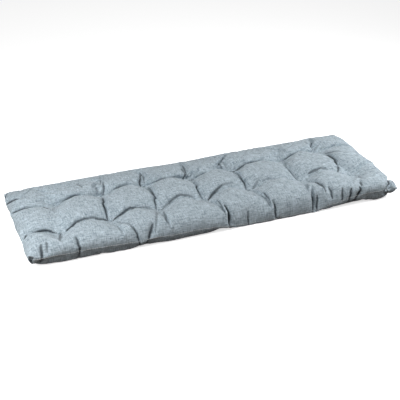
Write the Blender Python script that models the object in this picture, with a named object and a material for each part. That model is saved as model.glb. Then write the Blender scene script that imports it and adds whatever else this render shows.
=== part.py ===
"""Tufted bench cushion: two cloth panels joined by one side seam, filled and stitched through.

The cushion is one filled solid. It lies on its back on the plane z = 0, its length along X and
its front edge at -Y, with the origin at the centre of the area it covers. All sizes in metres.

Each panel is a grid that follows the net of folds between the tufts. Across the net a place is
given by two puff numbers: p runs from 0 at the left end to 8 at the right, q from 0 at the front
edge to 3 at the back, and whole numbers lie on the folds.
"""
import math

import bmesh
import bpy
import numpy as np

# Overall sizes
LENGTH = 1.200          # left end to right end, over the seam
DEPTH = 0.420           # front edge to back edge, over the seam
CROWN = 0.074           # height of a full puff above the surface it lies on
SEAM_HEIGHT = 0.026     # height of the side seam

# Rounded sides
TOP_SHOULDER = 0.050    # how far in from the seam the upper side keeps curving
LOW_SHOULDER = 0.034    # the same for the underside
SEAM_GROOVE = 0.0025    # depth of the groove just above the seam
GROOVE_TOP = math.radians(26.0)     # where the groove ends, as an angle round the side
CORNER_TRIM = 0.016     # how far the seam's corners are rounded off
CORNER_REACH = 0.060    # how far along each side that rounding runs

# Tufting
TUFT_DROP = 0.042       # depth of a tuft below the full puffs
ROW_FOLD = 0.42         # depth of a fold along the cushion half-way between tufts, of a tuft's
TUFT_CONE = 0.62        # depth of the round dip about a tuft, as a share of the tuft's
TUFT_RADIUS = 0.034
SIDE_DRAW = 0.009       # how far a fold pulls the side in
LOW_DIP = 0.014         # depth of a tuft's dip in the underside
LOW_FOLD = 0.35         # depth of a fold in the underside, of a tuft's dip
CONTACT = 0.0032        # how much of the filled underside is pressed flat
FOLD_FLATNESS = 2.2     # exponent: higher leaves more of a puff flat between its folds
FOLD_STEEPNESS = 0.6    # exponent: lower makes a fold's walls steeper
TUFT_FADE = 0.16        # how far beyond a tuft, in puffs, a fold keeps the tuft's depth

# Spacing of the grid
SHOULDER_ANGLES = (0.0, 12.0, 30.0, 50.0, 70.0, 90.0)
PUFF_STEPS = (0.07, 0.22, 0.42, 0.58, 0.78, 0.93)
PLEAT_HALF_WIDTH = 0.0065
PLEAT_SPACING = 0.045   # how far, in puffs, the other grid lines keep from a pleat's
WELD_DISTANCE = 0.00001

# One row for each fold across the cushion, left to right: where it meets the front edge, the
# front tuft, the back tuft and the back edge, then its depth as a share of a tuft's, in front of
# the tufts, between them and behind them.
FOLD_COLUMNS = ("front_x", "front_tuft_x", "front_tuft_y", "back_tuft_x", "back_tuft_y",
                "back_x", "front_depth", "middle_depth", "back_depth")
FOLDS = (
    (-0.505, -0.491, -0.107, -0.469, 0.062, -0.475, 0.30, 0.30, 0.30),
    (-0.345, -0.331, -0.092, -0.318, 0.068, -0.312, 0.28, 0.72, 0.45),
    (-0.180, -0.174, -0.081, -0.170, 0.080, -0.160, 0.34, 0.70, 0.50),
    (-0.005, -0.017, -0.074, -0.018, 0.070, -0.005, 0.45, 0.66, 0.48),
    (0.160, 0.138, -0.063, 0.132, 0.078, 0.128, 0.42, 0.66, 0.38),
    (0.312, 0.321, -0.065, 0.315, 0.082, 0.312, 0.40, 0.60, 0.30),
    (0.468, 0.490, -0.088, 0.460, 0.096, 0.452, 0.36, 0.74, 0.50),
)

# One row for each row of puffs, front to back: how much higher or lower each puff stands than
# the full height, left to right, in millimetres.
PUFF_HEIGHTS_MM = (
    (-5.0, 1.0, -3.0, -1.0, 0.0, 1.0, -2.0, -5.0),
    (-4.0, 1.5, 0.0, -1.0, 0.5, 1.0, 0.0, -5.0),
    (-6.0, -3.0, -2.0, -3.0, -3.0, -1.0, 0.5, -5.0),
)

# One row for each deep pleat that runs up the front side from the seam: its place along the
# edge, how far it leans sideways, how far in it reaches and how deep it is.
PLEAT_COLUMNS = ("x", "lean", "reach", "depth")
PLEATS = (
    (-0.560, 0.004, 0.045, 0.009),
    (-0.457, 0.003, 0.050, 0.008),
    (-0.270, -0.020, 0.100, 0.009),
    (-0.236, 0.004, 0.055, 0.007),
    (0.348, -0.012, 0.085, 0.008),
    (0.420, 0.006, 0.050, 0.007),
)


def named_rows(columns, rows):
    """Turn a table into one array for each named column."""
    return dict(zip(columns, np.array(rows, dtype=float).T))


FOLD = named_rows(FOLD_COLUMNS, FOLDS)
PLEAT = named_rows(PLEAT_COLUMNS, PLEATS)
PUFFS_ALONG = len(FOLDS) + 1
PUFFS_ACROSS = len(PUFF_HEIGHTS_MM)


def net_of_folds():
    """Places of the net's crossings: x and y arrays of 9 columns by 4 rows, front row first."""
    ends = np.full(PUFFS_ACROSS + 1, LENGTH / 2)
    inner_x = np.stack((FOLD["front_x"], FOLD["front_tuft_x"], FOLD["back_tuft_x"],
                        FOLD["back_x"]), axis=1)
    net_x = np.vstack((-ends, inner_x, ends))
    front_y = np.interp(net_x[:, 1], FOLD["front_tuft_x"], FOLD["front_tuft_y"])
    back_y = np.interp(net_x[:, 2], FOLD["back_tuft_x"], FOLD["back_tuft_y"])
    sides = np.full(len(net_x), DEPTH / 2)
    net_y = np.stack((-sides, front_y, back_y, sides), axis=1)
    return net_x, net_y


def shoulder_insets(shoulder):
    """Distances in from the seam at which the side's grid lines stand."""
    return [shoulder * (1.0 - math.cos(math.radians(angle))) for angle in SHOULDER_ANGLES]


def grid_lines(puffs, first_width, last_width, shoulder, extra=()):
    """Puff numbers of the grid lines, from one end to the other.

    The end puffs have lines at the shoulder's angles, the others at even steps across a puff,
    and extra lines go where the pleats are.
    """
    lines = set(float(line) for line in range(puffs + 1))
    lines.update(inset / first_width for inset in shoulder_insets(shoulder))
    lines.update(puffs - inset / last_width for inset in shoulder_insets(shoulder))
    for puff in range(puffs):
        for step in PUFF_STEPS:
            inside_first = puff == 0 and step * first_width < shoulder
            inside_last = puff == puffs - 1 and (1.0 - step) * last_width < shoulder
            if not (inside_first or inside_last):
                lines.add(puff + step)
    clear = [line for line in lines
             if all(abs(line - other) > PLEAT_SPACING for other in extra)]
    return np.array(sorted(clear + list(extra)))


def pleat_lines(net_x):
    """Puff numbers of the three grid lines that carry each pleat, at the front edge."""
    offsets = np.array((-PLEAT_HALF_WIDTH, 0.0, PLEAT_HALF_WIDTH))
    places = (PLEAT["x"][:, None] + offsets).ravel()
    return tuple(np.interp(places, net_x[:, 0], np.arange(PUFFS_ALONG + 1)))


def net_place(net, p, q):
    """Read the net between its crossings, in proportion along p and q."""
    i = np.clip(np.floor(p).astype(int), 0, PUFFS_ALONG - 1)
    j = np.clip(np.floor(q).astype(int), 0, PUFFS_ACROSS - 1)
    s, t = p - i, q - j
    near = net[i, j] * (1 - s) + net[i + 1, j] * s
    far = net[i, j + 1] * (1 - s) + net[i + 1, j + 1] * s
    return near * (1 - t) + far * t


def shoulder_angle(inset, shoulder):
    """Angle round the side's quarter circle for a distance in from the seam."""
    return np.arccos(np.clip(1.0 - inset / shoulder, 0.0, 1.0))


def across_puff(number, puffs):
    """Place across its puff, 0 and 1 at the folds; an end puff has a fold on one side only."""
    place = number - np.clip(np.floor(number), 0, puffs - 1)
    place = np.where(number < 1, 0.5 + number / 2, place)
    return np.where(number > puffs - 1, (number - puffs + 1) / 2, place)


def fold_shape(place):
    """1 at a fold, falling steeply and then gently to 0 at the middle of a puff."""
    from_middle = np.abs(2 * place - 1)
    return 1.0 - (1.0 - from_middle ** FOLD_FLATNESS) ** FOLD_STEEPNESS


def fold_depth_along(p, q):
    """Depth of the nearest fold across the cushion, as it varies from the front to the back."""
    nearest = np.clip(np.rint(p).astype(int) - 1, 0, len(FOLDS) - 1)
    front, middle, back = (FOLD[name][nearest] for name in
                           ("front_depth", "middle_depth", "back_depth"))
    edge = np.where(q < PUFFS_ACROSS / 2, front, back)
    beyond = np.clip(np.maximum(1 - q, q - PUFFS_ACROSS + 1), 0, 1)
    near_tuft = np.cos(np.pi * q) ** 2
    between = middle + (1 - middle) * near_tuft
    return np.where(beyond > 0, edge + (1 - edge) * np.exp(-beyond / TUFT_FADE), between)


def row_depth_along(p, share):
    """Depth of a fold along the cushion: full at each tuft, a share of it half-way."""
    near_tuft = np.cos(np.pi * np.clip(p, 1, PUFFS_ALONG - 1)) ** 2
    beyond = np.clip(np.maximum(1 - p, p - PUFFS_ALONG + 1), 0, 1)
    return np.where(beyond > 0, 1 - beyond * (1 - share), share + (1 - share) * near_tuft)


def tuft_cone(x, y):
    """Round dip about the nearest tuft, 1 at its middle."""
    tuft_x = np.concatenate((FOLD["front_tuft_x"], FOLD["back_tuft_x"]))
    tuft_y = np.concatenate((FOLD["front_tuft_y"], FOLD["back_tuft_y"]))
    distance = np.hypot(x[:, None] - tuft_x, y[:, None] - tuft_y).min(axis=1)
    return np.exp(-distance / TUFT_RADIUS)


def puff_height(p, q):
    """Difference in height from puff to puff, blended from one puff's middle to the next."""
    table = np.array(PUFF_HEIGHTS_MM).T / 1000.0
    along = np.clip(p - 0.5, 0, PUFFS_ALONG - 1)
    across = np.clip(q - 0.5, 0, PUFFS_ACROSS - 1)
    i = np.clip(np.floor(along).astype(int), 0, PUFFS_ALONG - 2)
    j = np.clip(np.floor(across).astype(int), 0, PUFFS_ACROSS - 2)
    s, t = along - i, across - j
    near = table[i, j] * (1 - s) + table[i + 1, j] * s
    far = table[i, j + 1] * (1 - s) + table[i + 1, j + 1] * s
    return near * (1 - t) + far * t


def pleat_depth(x, inset):
    """Depth of the front pleats at a place, and 0 away from them.

    A pleat is deepest a little above the seam and fades out at its reach.
    """
    depth = np.zeros_like(x)
    for x0, lean, reach, deep in zip(*(PLEAT[name] for name in PLEAT_COLUMNS)):
        run = np.clip(inset / reach, 0, 1)
        side = np.abs(x - (x0 + lean * run)) / PLEAT_HALF_WIDTH
        depth += deep * np.clip(1 - side, 0, 1) * (1 - run ** 2) * (inset < reach)
    return depth


def seam_groove(angle):
    """Depth of the groove above the seam: one smooth wave, 0 at the seam and above the groove."""
    wave = np.sin(np.pi * np.clip(angle / GROOVE_TOP, 0, 1))
    return SEAM_GROOVE * wave ** 2


def corner_rounding(x, y):
    """How far a place near a corner of the seam moves in, along x and y alike."""
    from_end = LENGTH / 2 - np.abs(x)
    from_side = DEPTH / 2 - np.abs(y)
    near = np.clip(1 - from_end / CORNER_REACH, 0, 1) * np.clip(1 - from_side / CORNER_REACH, 0, 1)
    return CORNER_TRIM * near ** 2


def panel_points(p, q, upper):
    """Points of the upper or the lower panel for puff numbers p and q.

    In plan the grid follows the net of folds. The height is a quarter round from the seam up to
    the crown, less the folds and dips of the tufting. A fold that reaches the side draws the
    side in, and a pleat cuts into it.
    """
    net_x, net_y = net_of_folds()
    x, y = net_place(net_x, p, q), net_place(net_y, p, q)
    shoulder = TOP_SHOULDER if upper else LOW_SHOULDER
    end_inset, side_inset = LENGTH / 2 - np.abs(x), DEPTH / 2 - np.abs(y)
    end_angle = shoulder_angle(end_inset, shoulder)
    side_angle = shoulder_angle(side_inset, shoulder)
    rise = np.sin(end_angle) * np.sin(side_angle)

    across = fold_shape(across_puff(p, PUFFS_ALONG)) * fold_depth_along(p, q)
    row_fold = fold_shape(across_puff(q, PUFFS_ACROSS))
    row_share = ROW_FOLD if upper else LOW_FOLD
    along = row_fold * row_depth_along(p, row_share)
    dip = np.maximum(np.maximum(across, along), TUFT_CONE * tuft_cone(x, y))
    pleat = pleat_depth(x, y + DEPTH / 2)

    if upper:
        height = CROWN + puff_height(p, q) - TUFT_DROP * dip - SEAM_HEIGHT
        z = SEAM_HEIGHT + rise * height - pleat * np.sin(side_angle)
    else:
        z = SEAM_HEIGHT * (1 - rise) + rise * (LOW_DIP * dip - CONTACT)
        z = np.maximum(z, 0.0)

    drawn_side = (SIDE_DRAW * across + pleat) * np.cos(side_angle)
    drawn_end = SIDE_DRAW * row_fold * row_depth_along(p, ROW_FOLD) * np.cos(end_angle)
    if upper:
        drawn_side += seam_groove(side_angle) * np.sin(end_angle)
        drawn_end += seam_groove(end_angle) * np.sin(side_angle)
    corner = corner_rounding(x, y)
    x = x - np.sign(x) * (drawn_end + corner)
    y = y - np.sign(y) * (drawn_side + corner)
    return np.stack((x, y, z), axis=1)


def add_panel(solid, p_lines, q_lines, upper):
    """Add one panel to the solid: an even grid, moved to the panel's points."""
    made = bmesh.ops.create_grid(solid, x_segments=len(p_lines) - 1,
                                 y_segments=len(q_lines) - 1, size=0.5)
    verts = made["verts"]
    flat = np.array([vert.co[:2] for vert in verts]) + 0.5
    column = np.rint(flat[:, 0] * (len(p_lines) - 1)).astype(int)
    row = np.rint(flat[:, 1] * (len(q_lines) - 1)).astype(int)
    for vert, point in zip(verts, panel_points(p_lines[column], q_lines[row], upper)):
        vert.co = point


def cushion_mesh():
    """Both panels, welded along the side seam into one closed solid."""
    net_x, net_y = net_of_folds()
    end_width = LENGTH / 2 + net_x[1, 0], LENGTH / 2 - net_x[-2, 0]
    side_width = DEPTH / 2 + net_y[:, 1].mean(), DEPTH / 2 - net_y[:, 2].mean()
    p_lines = grid_lines(PUFFS_ALONG, *end_width, TOP_SHOULDER, extra=pleat_lines(net_x))
    q_lines = grid_lines(PUFFS_ACROSS, *side_width, TOP_SHOULDER)
    solid = bmesh.new()
    for upper in (True, False):
        add_panel(solid, p_lines, q_lines, upper)
    bmesh.ops.remove_doubles(solid, verts=solid.verts, dist=WELD_DISTANCE)
    bmesh.ops.recalc_face_normals(solid, faces=solid.faces)
    mesh = bpy.data.meshes.new("cushion")
    solid.to_mesh(mesh)
    solid.free()
    mesh.shade_smooth()
    return mesh


def cloth_material():
    """Blue-grey melange cloth, matt."""
    material = bpy.data.materials.new("melange_cloth")
    material.use_nodes = True
    shader = material.node_tree.nodes["Principled BSDF"]
    shader.inputs["Base Color"].default_value = (0.40, 0.47, 0.52, 1.0)
    shader.inputs["Roughness"].default_value = 0.9
    shader.inputs["Metallic"].default_value = 0.0
    return material


def main():
    for old in list(bpy.data.objects):
        bpy.data.objects.remove(old, do_unlink=True)
    parts = bpy.data.collections.new("bench_cushion")
    bpy.context.scene.collection.children.link(parts)
    cushion = bpy.data.objects.new("cushion", cushion_mesh())
    cushion.data.materials.append(cloth_material())
    parts.objects.link(cushion)


main()
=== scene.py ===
"""Looks of the tufted bench cushion: the filled cover, its sewing, its melange cloth and a stage.

The cover is two flat-cut panels sewn together round their rim, stitched through at the tufts and
blown out by the filling. A small cloth solver, written with whole numpy arrays, settles them from
a coarse grid to a fine one, so that the puffs, the folds between the tufts and the puckers along
the seam come from the cloth itself. The main folds are placed one by one, in real sizes: wide
troughs in the filling's top, and narrow creases that pull the cloth in where they run.

A place on a panel is given by two puff numbers, as in the solid model: p runs from 0 at the left
end to 8 at the right, q from 0 at the front edge to 3 at the back, whole numbers on the folds.
"""
import math

import bmesh
import bpy
import numpy as np
from bpy.props import FloatProperty, FloatVectorProperty, IntProperty, PointerProperty
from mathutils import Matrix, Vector


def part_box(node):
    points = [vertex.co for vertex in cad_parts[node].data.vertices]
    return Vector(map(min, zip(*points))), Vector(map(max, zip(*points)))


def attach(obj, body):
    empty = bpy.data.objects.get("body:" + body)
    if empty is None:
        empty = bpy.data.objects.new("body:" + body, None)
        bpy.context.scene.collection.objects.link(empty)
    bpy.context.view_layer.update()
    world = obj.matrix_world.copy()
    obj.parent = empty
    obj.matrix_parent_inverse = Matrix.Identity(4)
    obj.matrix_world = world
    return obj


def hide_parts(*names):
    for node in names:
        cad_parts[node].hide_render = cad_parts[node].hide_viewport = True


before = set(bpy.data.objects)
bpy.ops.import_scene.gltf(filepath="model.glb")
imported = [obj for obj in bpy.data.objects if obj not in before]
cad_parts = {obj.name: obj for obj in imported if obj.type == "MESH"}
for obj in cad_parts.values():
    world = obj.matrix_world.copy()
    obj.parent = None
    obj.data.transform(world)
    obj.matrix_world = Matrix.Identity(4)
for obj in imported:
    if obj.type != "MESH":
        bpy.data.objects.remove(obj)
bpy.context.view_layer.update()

bl_info = {
    "name": "Tufted bench cushion",
    "version": (1, 0, 0),
    "blender": (4, 5, 0),
    "location": "3D View > Sidebar > Cushion",
    "description": "Makes a filled, tufted bench cushion with its sewing and a plain stage",
    "category": "Object",
}

CUSHION_LOW, CUSHION_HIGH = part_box("cushion")
LENGTH = CUSHION_HIGH[0] - CUSHION_LOW[0]
DEPTH = CUSHION_HIGH[1] - CUSHION_LOW[1]
HEIGHT = CUSHION_HIGH[2] - CUSHION_LOW[2]

PUFFS_ALONG = 8
PUFFS_ACROSS = 3
NUMBER = np.float32

# Grids of a panel from coarse to fine: cells along, cells across and steps of settling.
GRIDS = (
    (56, 21, 420),
    (112, 42, 360),
    (224, 84, 260),
    (448, 168, 150),
)

# One row for each fold across the cushion, left to right: where it meets the front edge, the
# front tuft, the back tuft and the back edge, in metres.
FOLD_COLUMNS = ("front_x", "front_tuft_x", "front_tuft_y", "back_tuft_x", "back_tuft_y", "back_x")
FOLDS = (
    (-0.505, -0.491, -0.107, -0.469, 0.062, -0.475),
    (-0.345, -0.331, -0.092, -0.318, 0.068, -0.312),
    (-0.180, -0.174, -0.081, -0.170, 0.080, -0.160),
    (-0.005, -0.017, -0.074, -0.018, 0.070, -0.005),
    (0.160, 0.138, -0.063, 0.132, 0.078, 0.128),
    (0.312, 0.321, -0.065, 0.315, 0.082, 0.312),
    (0.468, 0.490, -0.088, 0.460, 0.096, 0.452),
)

# Height of the filling's top over the surface in millimetres, for the middle of each puff: rows
# from the front to the back, puffs from left to right.
PUFF_HEIGHTS = (
    (66, 69, 70, 71, 72, 71, 71, 69),
    (66, 68, 69, 69, 69, 69, 70, 71),
    (60, 61, 62, 61, 61, 62, 62, 62),
)

# The front seam at places along it, in metres: its height, which rises and falls, how far it
# stands out from the other seams' inset, and how far the lower panel's side leans in below it, as
# a share of its drop.
FRONT_SEAM_COLUMNS = ("x", "height", "out", "tuck")
FRONT_SEAM = (
    (-0.600, 0.022, 0.002, 0.30),
    (-0.560, 0.032, 0.006, 0.30),
    (-0.500, 0.027, 0.007, 0.30),
    (-0.450, 0.028, 0.007, 0.30),
    (-0.330, 0.022, 0.008, 0.30),
    (-0.290, 0.020, 0.010, 0.30),
    (-0.240, 0.026, 0.009, 0.30),
    (-0.190, 0.019, 0.009, 0.30),
    (-0.090, 0.020, 0.009, 0.30),
    (0.000, 0.014, 0.008, 0.30),
    (0.060, 0.003, 0.002, 0.30),
    (0.100, 0.001, 0.001, 0.30),
    (0.220, 0.001, 0.001, 0.20),
    (0.300, 0.003, 0.003, 0.10),
    (0.360, 0.015, 0.006, 0.05),
    (0.420, 0.026, 0.008, 0.05),
    (0.475, 0.032, 0.007, 0.05),
    (0.545, 0.031, 0.010, 0.05),
    (0.600, 0.034, 0.006, 0.05),
)

# Rounded valleys between the puffs of the upper panel: where each starts and ends in puff
# numbers, how far it bows to its left in puffs, how far its roll reaches to each side and how
# deep it is at its start and its end in millimetres, and how hard it pulls the cloth in. One that
# doesn't pull is a soft dip.
TROUGH_COLUMNS = ("p0", "q0", "p1", "q1", "bow", "reach", "depth0", "depth1", "pull")
TROUGHS = (
    # between the two tufts of a pair
    (1.00, 1.00, 1.00, 2.00, 0.00, 50, 9, 9, 0.0),
    (2.00, 1.00, 2.00, 2.00, 0.00, 30, 14, 14, 1.5),
    (3.00, 1.00, 3.00, 2.00, 0.00, 28, 12, 12, 1.5),
    (4.00, 1.00, 4.00, 2.00, 0.00, 28, 12, 12, 1.5),
    (5.00, 1.00, 5.00, 2.00, 0.00, 28, 13, 14, 1.5),
    (6.00, 1.00, 6.00, 2.00, 0.00, 30, 13, 13, 1.5),
    (7.00, 1.00, 7.00, 2.00, 0.00, 45, 19, 19, 2.0),
    # along the front row of tufts
    (0.10, 0.95, 1.00, 1.00, 0.07, 30, 8, 16, 1.5),
    (1.00, 1.00, 2.00, 1.00, 0.07, 52, 24, 24, 2.0),
    (2.00, 1.00, 3.00, 1.00, 0.08, 52, 24, 24, 2.0),
    (3.00, 1.00, 4.00, 1.00, 0.08, 52, 22, 20, 1.5),
    (4.00, 1.00, 5.00, 1.00, 0.11, 52, 25, 18, 2.0),
    (5.00, 1.00, 6.00, 1.00, 0.06, 45, 16, 16, 0.8),
    (6.00, 1.00, 7.00, 1.00, 0.07, 45, 14, 14, 0.8),
    (7.00, 1.00, 7.50, 1.00, 0.00, 50, 10, 0, 0.0),
    # along the back row of tufts
    (0.10, 1.97, 1.00, 2.00, 0.00, 30, 8, 16, 1.5),
    (1.00, 2.00, 2.00, 2.00, 0.06, 52, 22, 18, 2.0),
    (2.00, 2.00, 3.00, 2.00, 0.05, 52, 15, 15, 1.5),
    (3.00, 2.00, 4.00, 2.00, 0.04, 52, 14, 14, 1.0),
    (4.00, 2.00, 5.00, 2.00, 0.07, 52, 18, 14, 1.5),
    (5.00, 2.00, 6.00, 2.00, 0.05, 52, 22, 20, 2.0),
    (6.00, 2.00, 7.00, 2.00, 0.08, 52, 18, 14, 1.5),
    (7.00, 2.00, 7.50, 2.00, 0.00, 50, 10, 0, 0.0),
    # from the back tufts to the back edge
    (1.00, 2.00, 0.98, 2.80, 0.00, 50, 12, 1, 0.0),
    (2.00, 2.00, 2.10, 3.00, 0.00, 35, 17, 10, 1.5),
    (3.00, 2.00, 3.06, 3.00, 0.00, 35, 17, 14, 1.5),
    (4.00, 2.00, 4.06, 3.00, 0.00, 35, 17, 14, 1.5),
    (5.00, 2.00, 4.92, 3.00, 0.00, 35, 15, 10, 1.0),
    (6.00, 2.00, 6.00, 2.80, 0.00, 45, 12, 1, 0.0),
    (7.00, 2.00, 7.00, 3.00, 0.00, 35, 15, 12, 1.5),
    # from the front tufts to the front edge
    (1.00, 1.00, 0.90, 0.20, 0.00, 45, 14, 1, 0.0),
    (2.00, 1.00, 2.05, 0.10, 0.00, 45, 13, 2, 0.0),
    (3.00, 1.00, 2.85, 0.00, 0.00, 35, 16, 4, 0.5),
    (4.00, 1.00, 4.12, 0.20, 0.00, 35, 16, 6, 1.0),
    (5.00, 1.00, 5.10, 0.20, 0.00, 35, 15, 4, 1.0),
    (6.00, 1.00, 5.95, 0.20, 0.00, 40, 13, 3, 0.0),
    (7.00, 1.00, 6.95, 0.30, 0.00, 40, 13, 2, 0.0),
)

# Creases, the narrow lines where the cloth closes on itself: where each starts and ends in puff
# numbers, how far it bows to its left in puffs, its half width and its depth at the start and the
# end in millimetres, and how dark its painted shade is at the start and the end, 0 to 1.
CREASE_COLUMNS = ("p0", "q0", "p1", "q1", "bow", "width", "depth0", "depth1", "dark0", "dark1")
CREASES = (
    # between the two tufts of a pair
    (2.03, 1.94, 1.96, 1.06, -0.02, 3.4, 5, 6, 0.85, 1.00),
    (3.06, 1.96, 2.95, 1.02, 0.03, 3.0, 5, 5, 0.75, 0.90),
    (3.97, 1.74, 3.95, 1.04, 0.00, 2.8, 5, 4, 1.00, 0.60),
    (5.03, 1.74, 4.95, 1.02, 0.01, 2.6, 4, 4, 0.60, 0.85),
    (5.87, 1.68, 5.96, 1.09, 0.00, 3.4, 5, 5, 1.00, 0.70),
    (7.05, 1.78, 6.80, 1.07, 0.05, 4.5, 8, 7, 1.00, 0.85),
    (7.11, 1.83, 7.33, 1.62, 0.00, 5.0, 4, 1, 0.60, 0.30),
    (1.00, 1.90, 1.00, 1.30, 0.00, 5.0, 2, 1, 0.30, 0.00),
    # behind the puffs of the front row
    (0.12, 0.93, 0.92, 1.04, 0.11, 4.2, 5, 5, 0.85, 1.00),
    (1.14, 1.01, 1.58, 1.12, 0.03, 4.4, 5, 3, 1.00, 0.75),
    (1.50, 1.11, 1.96, 1.05, 0.04, 4.2, 3, 5, 0.50, 1.00),
    (2.05, 1.00, 2.62, 1.12, 0.05, 4.4, 5, 3, 1.00, 0.80),
    (2.60, 1.12, 2.94, 1.04, 0.02, 4.0, 2, 2, 0.55, 0.45),
    (3.05, 0.98, 3.34, 1.16, 0.02, 4.0, 3, 1, 0.60, 0.35),
    (3.20, 1.07, 3.78, 1.11, 0.08, 4.4, 3, 2, 0.75, 0.55),
    (4.05, 0.97, 4.42, 1.20, 0.04, 4.8, 6, 3, 1.00, 0.80),
    (4.40, 1.20, 4.78, 1.20, 0.04, 4.4, 3, 1, 0.60, 0.15),
    (5.07, 1.02, 5.24, 1.19, 0.00, 4.2, 3, 1, 0.60, 0.30),
    (5.28, 1.10, 5.62, 1.02, 0.03, 4.2, 3, 1, 0.45, 0.20),
    (6.22, 1.13, 6.58, 1.10, 0.03, 4.4, 4, 2, 0.80, 0.45),
    # behind the puffs of the middle row
    (0.14, 2.00, 0.90, 1.78, 0.10, 4.2, 5, 5, 0.95, 1.00),
    (1.12, 2.03, 1.56, 2.11, 0.03, 4.2, 5, 2, 1.00, 0.60),
    (1.54, 2.10, 1.92, 2.04, 0.02, 4.0, 1, 1, 0.25, 0.20),
    (2.28, 2.06, 2.66, 2.07, 0.03, 4.4, 4, 3, 0.55, 1.00),
    (3.26, 2.08, 3.60, 2.08, 0.03, 4.4, 3, 2, 0.60, 0.70),
    (4.05, 1.98, 4.37, 2.12, 0.02, 4.6, 4, 2, 0.65, 0.60),
    (5.03, 1.96, 5.42, 2.09, 0.03, 4.4, 5, 3, 0.80, 0.80),
    (5.40, 2.09, 5.74, 2.02, 0.02, 4.2, 3, 2, 0.80, 0.45),
    (6.04, 2.03, 6.50, 2.15, 0.02, 4.2, 4, 2, 0.70, 0.50),
    # from the back tufts to the back edge
    (2.17, 2.60, 2.10, 2.32, 0.00, 2.8, 3, 2, 0.75, 0.50),
    (2.19, 2.42, 2.03, 2.02, 0.02, 3.0, 3, 4, 0.70, 0.75),
    (2.01, 2.38, 1.93, 2.12, 0.00, 2.8, 2, 2, 0.45, 0.45),
    (1.66, 2.62, 1.68, 2.32, 0.00, 3.2, 3, 2, 0.60, 0.40),
    (3.04, 2.64, 2.94, 2.07, 0.00, 3.0, 5, 4, 0.85, 0.85),
    (3.09, 2.66, 3.05, 2.16, 0.00, 2.8, 4, 3, 0.80, 0.60),
    (3.97, 2.50, 3.88, 2.06, 0.02, 3.0, 4, 4, 0.85, 0.90),
    (4.05, 2.68, 3.97, 2.06, 0.00, 2.6, 4, 2, 0.75, 0.45),
    (4.86, 2.50, 4.87, 2.10, 0.00, 3.0, 4, 3, 0.65, 0.60),
    (4.94, 2.44, 4.98, 2.16, 0.00, 2.6, 2, 2, 0.45, 0.35),
    (7.01, 2.62, 6.90, 2.12, 0.02, 2.6, 4, 3, 0.80, 0.70),
    (6.80, 2.54, 6.86, 2.26, 0.00, 2.6, 2, 1, 0.55, 0.30),
    # wrinkles round the front tufts
    (1.03, 1.00, 0.89, 0.44, 0.00, 4.2, 4, 2, 0.85, 0.35),
    (2.08, 0.92, 2.20, 0.45, 0.00, 3.2, 2, 2, 0.40, 0.35),
    (3.05, 0.86, 2.92, 0.32, 0.01, 3.2, 3, 2, 0.75, 0.35),
    (2.90, 0.88, 2.64, 0.14, 0.00, 3.4, 3, 2, 0.60, 0.50),
    (3.98, 0.95, 3.92, 0.60, 0.00, 4.0, 2, 1, 0.30, 0.05),
    (7.13, 0.80, 7.08, 0.52, 0.00, 3.4, 3, 1, 0.60, 0.30),
    (6.96, 0.38, 6.95, 0.25, 0.00, 3.4, 4, 3, 0.80, 0.80),
    # pleats up the front side
    (0.45, 0.36, 0.36, 0.00, 0.00, 4.4, 5, 8, 0.75, 1.00),
    (0.58, 0.40, 0.52, 0.14, 0.00, 3.4, 3, 3, 0.65, 0.50),
    (1.19, 0.38, 1.18, 0.00, 0.01, 3.6, 4, 9, 0.80, 1.00),
    (2.20, 0.50, 2.31, 0.00, 0.02, 3.4, 3, 9, 0.35, 1.00),
    (2.64, 0.32, 2.47, 0.00, 0.00, 3.8, 5, 9, 0.80, 1.00),
    (4.15, 0.72, 4.07, 0.24, 0.01, 2.6, 4, 3, 0.75, 0.50),
    (4.20, 0.44, 4.16, 0.00, 0.02, 4.4, 6, 10, 0.95, 1.00),
    (4.61, 0.24, 4.60, 0.00, 0.00, 3.2, 2, 5, 0.50, 0.90),
    (5.13, 0.62, 5.12, 0.34, 0.00, 2.8, 3, 3, 0.85, 0.60),
    (5.18, 0.36, 5.16, 0.04, 0.01, 3.2, 4, 6, 0.70, 0.85),
    (5.15, 0.07, 5.28, 0.00, 0.00, 3.2, 4, 4, 0.80, 0.60),
    (5.94, 0.40, 5.86, 0.00, 0.01, 3.4, 5, 9, 0.85, 1.00),
    (6.02, 0.27, 5.93, 0.00, 0.00, 2.8, 4, 6, 0.80, 0.95),
    (6.14, 0.70, 6.20, 0.28, 0.01, 2.8, 4, 3, 0.75, 0.75),
    (6.30, 0.38, 6.29, 0.14, 0.01, 3.2, 4, 4, 0.85, 0.80),
    (6.54, 0.28, 6.48, 0.03, 0.00, 3.2, 4, 6, 0.80, 0.95),
    (6.71, 0.22, 6.64, 0.00, 0.00, 3.8, 5, 9, 0.90, 1.00),
    (6.90, 0.24, 6.78, 0.00, 0.03, 4.2, 6, 10, 1.00, 1.00),
    # tucks at the corners
    (0.03, 2.57, 0.35, 2.37, 0.02, 5.4, 12, 5, 1.00, 1.00),
    (0.14, 0.04, 0.04, 0.00, 0.00, 3.4, 5, 5, 0.90, 0.90),
    (7.80, 0.34, 7.66, 0.00, -0.04, 4.2, 4, 6, 0.85, 1.00),
)


def named_rows(columns, rows):
    """Turn a table into one array for each named column."""
    return dict(zip(columns, np.array(rows, dtype=float).T))


FOLD = named_rows(FOLD_COLUMNS, FOLDS)
SEAM = named_rows(FRONT_SEAM_COLUMNS, FRONT_SEAM)


# ===== Sizes and colours that a user would change

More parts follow.
